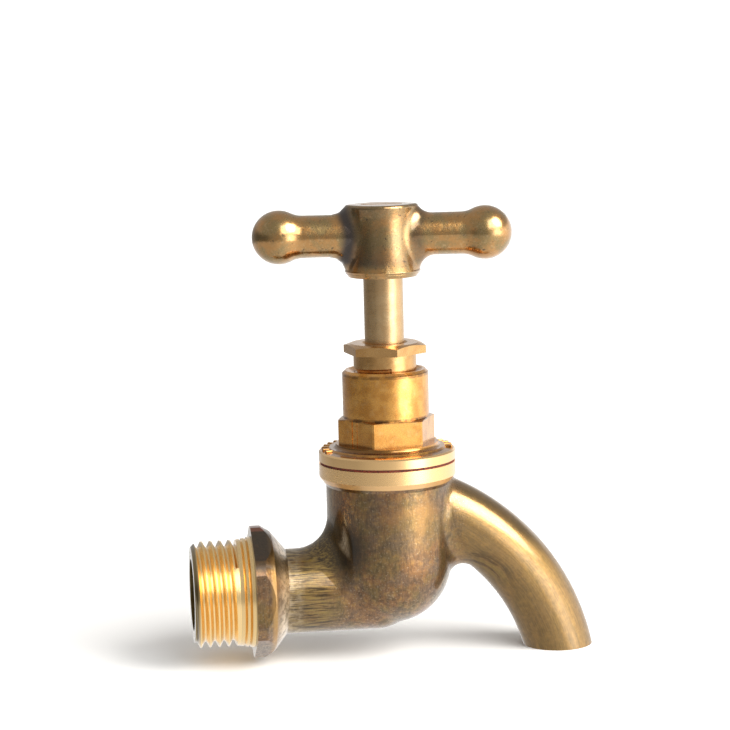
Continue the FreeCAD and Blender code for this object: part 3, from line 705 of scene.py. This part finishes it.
@dataclass(frozen=True)
class HandleBrass:
    """Cast brass, tumbled smooth and aged: brown with gold rubbed up, and painted shade where the arms leave
    the hub.
    """

    name: str = "handle_brass_aged"
    olive: str = "9c8252"
    warm: str = "bc8c50"
    pale: str = "c9a878"
    pit: str = "403020"
    # Colour of the painted shade at the arms' roots
    root_shade: str = "463c36"
    cloud_mm: float = 3.2
    film: float = 0.9

    # Painted shade ring where the arms leave the hub: its distance from the stem, its fade, its foot and its
    # lighter right side
    root_mm: float = 7.6
    root_fade: Span = Span(0.2, 2.0, 1.0, 0.0)
    root_foot: Span = Span(62.6, 64.5)
    root_shade_side: Span = Span(-4.0, 4.0, 1.0, 0.55)

    def build(self) -> bpy.types.Material:
        """Builds the material."""
        s = Surface(self.name)
        cloud = s.noise(self.cloud_mm, 5.0, 0.6)
        grain = s.shifted(0.5, 12.0, 4.0)
        pits = s.shifted(0.7, 41.0, 2.0)
        # Painted shade in the fillets where the arms leave the hub, deeper on the left
        root_shade = s.math("ABSOLUTE", s.math("SUBTRACT", s.reach, self.root_mm * MM))
        root_shade = s.math("MULTIPLY", s.over(root_shade, self.root_fade), s.over(s.z, self.root_foot))
        colour = s.mix(s.between(cloud, 0.38, 0.62), linear(self.olive), linear(self.warm))
        colour = s.mix(s.between(grain, 0.5, 0.75, 0.0, 0.6), colour, linear(self.pale))
        colour = s.mix(s.between(pits, 0.26, 0.38, 0.7, 0.0), colour, linear(self.pit))
        side = s.over(s.across, self.root_shade_side)
        colour = s.mix(s.math("MULTIPLY", root_shade, side), colour, linear(self.root_shade))
        roughness = s.between(s.math("ADD", cloud, grain), 0.7, 1.3, 0.3, 0.18)
        height = s.math("MULTIPLY_ADD", pits, 0.8, s.math("MULTIPLY", cloud, 1.5))
        return s.finish(colour, roughness, height, 0.03, film=self.film)


@dataclass(frozen=True)
class DullFill:
    """A dark or matt non-metal: vulcanised fibre, graphited yarn or rubber."""

    name: str
    tone: str
    deep: str
    grain_mm: float
    roughness: float

    def build(self) -> bpy.types.Material:
        """Builds the material."""
        s = Surface(self.name)
        grain = s.noise(self.grain_mm, 3.0)
        colour = s.mix(s.between(grain, 0.35, 0.65), linear(self.deep), linear(self.tone))
        rough = s.between(grain, 0.3, 0.7, self.roughness, self.roughness + 0.1)
        return s.finish(colour, rough, grain, 0.02, 0.0)


@dataclass
class CastPips:
    """Plain raised pips cast in two arcs on the land of the bonnet's flange."""

    radius_mm: float = 12.0
    land_z_mm: float = 27.45
    size_mm: tuple[float, float, float] = (1.7, 0.7, 0.8)
    edge_mm: float = 0.2
    arcs_deg: tuple[tuple[float, float], ...] = ((-12.0, 76.0), (104.0, 192.0))
    count: int = 9

    def build(self, material: bpy.types.Material) -> None:
        """Builds the pips as one piece that stays with the tap's body.

        Args:
            material: the bonnet's finish.
        """
        work = bmesh.new()
        for low, high in self.arcs_deg:
            for index in range(self.count):
                turn = math.radians(low + (high - low) * index / (self.count - 1))
                place = Matrix.Translation((STEM_X, 0, self.land_z_mm * MM)) @ Matrix.Rotation(turn, 4, "Z")
                place = place @ Matrix.Translation((self.radius_mm * MM, 0, 0))
                place = place @ Matrix.Diagonal((*(side * MM for side in self.size_mm), 1.0))
                bmesh.ops.create_cube(work, size=1.0, matrix=place)
        bmesh.ops.bevel(
            work, geom=work.edges[:], offset=self.edge_mm * MM, offset_type="OFFSET", segments=2, profile=0.5,
            affect="EDGES", material=-1,
        )
        mesh = bpy.data.meshes.new("bonnet_cast_pips")
        work.to_mesh(mesh)
        work.free()
        mesh.materials.append(material)
        piece = bpy.data.objects.new("bonnet_cast_pips", mesh)
        bpy.context.scene.collection.objects.link(piece)
        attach(piece, "tap_body")
        LOG.info("added %s", piece.name)


@dataclass
class Tap:
    """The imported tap: every node gets the finish of its real piece."""

    def dress(self) -> None:
        """Builds the finishes and gives them to the nodes."""
        cast = CastBrass().build()
        bonnet = HeadworkBrass().build()
        # Turned brass of the gland: yellow gold, a little duller than the headwork
        gland = TurnedBrass("gland_brass_turned", "d2a468", "b07f45", "e8c590").build()
        # Turned and handled stem: pale satin brass with faint rings
        stem = TurnedBrass("stem_brass_satin", "cfae80", "bb9463", "dcc39c", roughness=0.28).build()
        handle = HandleBrass().build()
        # Vulcanised fibre: dark red-brown and matt
        fibre = DullFill("vulcanised_fibre", "7a2c12", "421608", 0.4, 0.6).build()
        # Graphited packing yarn: dark grey, faintly shiny
        graphite = DullFill("graphited_yarn", "2a2a2b", "121213", 0.5, 0.55).build()
        # Washer rubber: black and matt
        rubber = DullFill("washer_rubber", "202021", "101011", 0.6, 0.6).build()
        finishes = {
            "body": cast, "body_washer": fibre, "bonnet": bonnet, "gland_nut": gland, "gland_follower": gland,
            "packing_base_ring": gland, "packing_ring_1": graphite, "packing_ring_2": graphite,
            "packing_ring_3": graphite, "spindle": stem, "handle": handle, "handle_screw": gland,
            "jumper": gland, "jumper_snap_ring": gland, "seat_washer": rubber, "washer_plate": gland,
            "washer_nut": gland,
        }
        for node, material in finishes.items():
            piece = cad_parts[node]
            piece.data.materials.clear()
            piece.data.materials.append(material)
            LOG.info("dressed %s with %s", node, material.name)
        CastPips().build(bonnet)


@dataclass
class Studio:
    """Plain pale floor, a large soft key from the right, a soft room, and the camera at the photo's angle."""

    azimuth_deg: float = -7.768
    elevation_deg: float = 8.085
    roll_deg: float = -1.419
    camera_mm: tuple[float, float, float] = (-36.03, -436.84, 106.58)
    lens_mm: float = 112.5
    floor_half_m: float = 10.0
    key_azimuth_deg: float = 57.0
    key_elevation_deg: float = 38.0
    key_width_deg: float = 38.0
    key_power: float = 2.1
    key_colour: tuple[float, float, float] = (1.0, 0.98, 0.95)
    paper: str = "fafaf9"
    paper_roughness: float = 0.9

    # Levels of light round the horizon, by azimuth in degrees
    horizon: tuple[tuple[float, float], ...] = (
        (-180, 0.6), (-172, 0.35), (-164, 0.42), (-150, 0.3), (-135, 0.26), (-112, 0.15), (-60, 0.18),
        (-32, 0.42), (-8, 0.4), (5, 0.5), (12, 0.75), (21, 1.2), (32, 3.6), (38, 4.8), (54, 4.8), (62, 3.2),
        (74, 1.9), (115, 1.4), (150, 1.1), (180, 0.8),
    )
    brightest: float = 4.8
    paper_fill: float = 0.12
    upper: float = 0.5
    ceiling: float = 0.5
    table_left: float = 0.68
    table_right: float = 1.3
    background: float = 1.1
    room_colour: tuple[float, float, float, float] = (1.0, 0.985, 0.965, 1)

    # Soft edges: the box's sides in degrees, then heights as the sine of the elevation
    box_left_deg: tuple[float, float] = (3.0, 9.0)
    box_right_deg: tuple[float, float] = (78.0, 66.0)
    box_foot: tuple[float, float] = (0.27, 0.35)
    upper_edge: tuple[float, float] = (0.12, 0.34)
    ceiling_edge: tuple[float, float] = (0.76, 0.88)
    table_edge: tuple[float, float] = (-0.15, -0.23)

    def stand_floor(self) -> None:
        """Builds the floor, a sheet of pale paper."""
        mesh = bpy.data.meshes.new("floor")
        work = bmesh.new()
        bmesh.ops.create_grid(work, x_segments=1, y_segments=1, size=self.floor_half_m)
        bmesh.ops.translate(work, verts=work.verts, vec=(0, 0, FLOOR_Z))
        work.to_mesh(mesh)
        work.free()
        floor = bpy.data.objects.new("floor", mesh)
        bpy.context.scene.collection.objects.link(floor)
        paper = bpy.data.materials.new("backdrop_paper")
        paper.use_nodes = True
        shader = paper.node_tree.nodes["Principled BSDF"]
        shader.inputs["Base Color"].default_value = linear(self.paper)
        shader.inputs["Roughness"].default_value = self.paper_roughness
        mesh.materials.append(paper)
        floor.visible_glossy = False

    def light(self) -> None:
        """Lights the stage: a soft key from the right, and a room brighter behind and to the right."""
        turn, rise = math.radians(self.key_azimuth_deg), math.radians(self.key_elevation_deg)
        way = Vector((math.sin(turn) * math.cos(rise), -math.cos(turn) * math.cos(rise), math.sin(rise)))
        data = bpy.data.lights.new("key", "SUN")
        data.angle = math.radians(self.key_width_deg)
        data.energy = self.key_power
        data.color = self.key_colour
        lamp = bpy.data.objects.new("key", data)
        lamp.rotation_euler = way.to_track_quat("Z", "Y").to_euler()
        bpy.context.scene.collection.objects.link(lamp)
        self.surround()
        bpy.context.scene.view_settings.view_transform = "Standard"

    def step(
        self, tree: bpy.types.NodeTree, value: object, edge: tuple[float, float],
    ) -> bpy.types.NodeSocket:
        """Share that goes softly from 0 at the edge's first value to 1 at its second.

        Args:
            tree: node tree of the room.
            value: value to follow.
            edge: its values at 0 and at 1.

        Returns:
            The share.
        """
        inputs = {"Value": value, "From Min": edge[0], "From Max": edge[1]}
        return add_node(tree, "ShaderNodeMapRange", inputs, interpolation_type="SMOOTHSTEP").outputs[0]

    def surround(self) -> None:
        """Builds the room: levels round the horizon, an even ceiling and the white table under the tap.

        The polished brass mirrors it: dim on the left, a tall soft box at the right, white sheets behind.
        """
        world = bpy.data.worlds.new("room")
        world.use_nodes = True
        tree = world.node_tree
        way = add_node(tree, "ShaderNodeTexCoord").outputs["Generated"]
        split = add_node(tree, "ShaderNodeSeparateXYZ", {0: way})
        front = add_node(tree, "ShaderNodeMath", {0: split.outputs[1], 1: -1.0}, operation="MULTIPLY")
        facing = {0: split.outputs[0], 1: front.outputs[0]}
        turn = add_node(tree, "ShaderNodeMath", facing, operation="ARCTAN2")
        share = {"Value": turn.outputs[0], "From Min": -math.pi, "From Max": math.pi}
        place = add_node(tree, "ShaderNodeMapRange", share)
        ramp = add_node(tree, "ShaderNodeValToRGB", {0: place.outputs[0]})
        marks = ramp.color_ramp.elements
        while len(marks) > 1:
            marks.remove(marks[-1])
        for index, (azimuth, level) in enumerate(self.horizon):
            mark = marks[0] if index == 0 else marks.new(0.5 + azimuth / 360)
            mark.position = 0.5 + azimuth / 360
            value = level / self.brightest
            mark.color = (value, value, value, 1.0)
        ring = add_node(tree, "ShaderNodeMath", {0: ramp.outputs[0], 1: self.brightest}, operation="MULTIPLY")
        bright = ring.outputs[0]
        degree = math.radians(1.0)
        height = split.outputs[2]
        left_edge = (self.box_left_deg[0] * degree, self.box_left_deg[1] * degree)
        right_edge = (self.box_right_deg[0] * degree, self.box_right_deg[1] * degree)
        box_start = self.step(tree, turn.outputs[0], left_edge)
        box_end = self.step(tree, turn.outputs[0], right_edge)
        box_foot = self.step(tree, height, self.box_foot)
        box = add_node(tree, "ShaderNodeMath", {0: box_start, 1: box_end}, operation="MULTIPLY").outputs[0]
        box = add_node(tree, "ShaderNodeMath", {0: box, 1: box_foot}, operation="MULTIPLY").outputs[0]
        sides = {"Value": split.outputs[0], "From Min": -0.5, "From Max": 0.5}
        sides.update({"To Min": self.table_left, "To Max": self.table_right})
        table = add_node(tree, "ShaderNodeMapRange", sides).outputs[0]
        layers = (
            (self.step(tree, height, self.upper_edge), self.upper), (box, self.brightest),
            (self.step(tree, height, self.ceiling_edge), self.ceiling),
            (self.step(tree, height, self.table_edge), table),
        )
        for share, level in layers:
            inputs = {0: share, 2: bright, 3: level}
            bright = add_node(tree, "ShaderNodeMix", inputs, data_type="FLOAT").outputs[0]
        rays = add_node(tree, "ShaderNodeLightPath").outputs
        inputs = {0: rays["Is Diffuse Ray"], 1: self.paper_fill, 2: 1.0}
        fill = add_node(tree, "ShaderNodeMath", inputs, operation="MULTIPLY_ADD")
        inputs = {0: bright, 1: fill.outputs[0]}
        bright = add_node(tree, "ShaderNodeMath", inputs, operation="MULTIPLY").outputs[0]
        inputs = {0: rays["Is Camera Ray"], 2: bright, 3: self.background}
        bright = add_node(tree, "ShaderNodeMix", inputs, data_type="FLOAT").outputs[0]
        tree.links.new(bright, tree.nodes["Background"].inputs[1])
        tree.nodes["Background"].inputs[0].default_value = self.room_colour
        bpy.context.scene.world = world

    def aim(self) -> None:
        """Places the camera as fitted to the photograph."""
        turn, rise, roll = (math.radians(v) for v in (self.azimuth_deg, self.elevation_deg, self.roll_deg))
        back = Vector((math.sin(turn) * math.cos(rise), -math.cos(turn) * math.cos(rise), math.sin(rise)))
        right = Vector((math.cos(turn), math.sin(turn), 0.0))
        up = back.cross(right)
        side = right * math.cos(roll) + up * math.sin(roll)
        top = up * math.cos(roll) - right * math.sin(roll)
        placed = Matrix((side, top, back)).transposed().to_4x4()
        placed.translation = Vector(self.camera_mm) * MM
        data = bpy.data.cameras.new("camera")
        data.lens = self.lens_mm
        data.sensor_width = 36.0
        data.clip_start = 0.01
        camera = bpy.data.objects.new("camera", data)
        camera.matrix_world = placed
        bpy.context.scene.collection.objects.link(camera)
        bpy.context.scene.camera = camera


def main() -> None:
    """Dresses the tap and sets the stage."""
    logging.basicConfig(level=logging.INFO, format="%(name)s: %(message)s")
    Tap().dress()
    studio = Studio()
    studio.stand_floor()
    studio.light()
    studio.aim()


if __name__ == "__main__":
    main()
